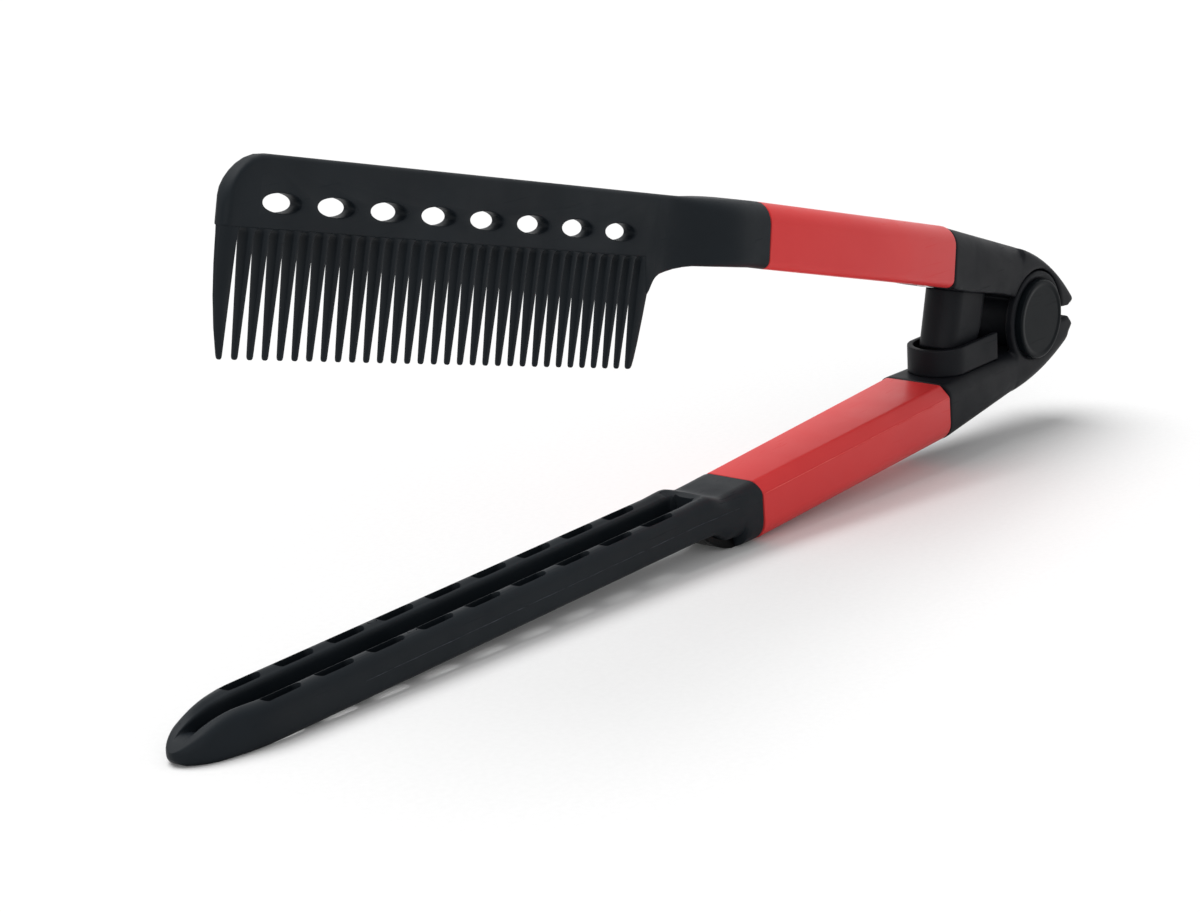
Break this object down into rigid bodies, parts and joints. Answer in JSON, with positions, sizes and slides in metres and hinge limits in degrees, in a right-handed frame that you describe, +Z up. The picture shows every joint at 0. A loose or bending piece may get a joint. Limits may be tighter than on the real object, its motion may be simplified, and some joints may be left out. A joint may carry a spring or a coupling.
{
  "type": "hair straightening comb",
  "caption": "Sprung V-shaped straightening comb: a toothed, vented comb arm closes into a slotted channel jaw; red grips, round pivot caps, a guarded return spring and a small rest foot.",
  "frame": {"origin": "middle of the rest foot's sole, on the surface the tool lies on", "axes": "+Z up from that surface, +X along the tool from the tips of the comb and jaw to the hinge, +Y along the pivot pin to the far side"},
  "size_m": [0.2563, 0.017, 0.0881],
  "materials": {
    "black_plastic": "satin",
    "black_jaw": "satin",
    "cap_plastic": "satin",
    "red_grip": "satin",
    "foot_rubber": "satin",
    "steel": "satin",
    "spring_steel": "polished",
    "natural_plastic": "satin"
  },
  "bodies": {
    "jaw_arm": {"lower_jaw": "black_jaw", "lower_grip": "red_grip", "lower_casing": "black_plastic", "spring_cup": "black_plastic", "cup_screw": "steel", "lower_tang_screw": "steel", "rest_foot": "foot_rubber", "pivot_pin": "steel", "pin_retainer": "steel", "near_pivot_cap": "cap_plastic", "far_pivot_cap": "cap_plastic", "return_spring": "spring_steel"},
    "comb_arm": {"comb": "black_jaw", "upper_grip": "red_grip", "upper_casing": "black_plastic", "spring_post": "black_plastic", "post_screw": "steel", "upper_tang_screw": "steel", "hinge_bush": "natural_plastic", "near_washer": "steel", "far_washer": "steel"}
  },
  "joints": [
    {"name": "arm_hinge", "type": "hinge", "parent": "jaw_arm", "child": "comb_arm", "pos_m": [0.10089, 0, 0.02381], "axis": [0, 1, 0], "range_deg": [-13.2, 0], "stiffness_Nm_per_rad": 0.4, "springref_deg": 17.19, "deforming": ["return_spring"]}
  ]
}
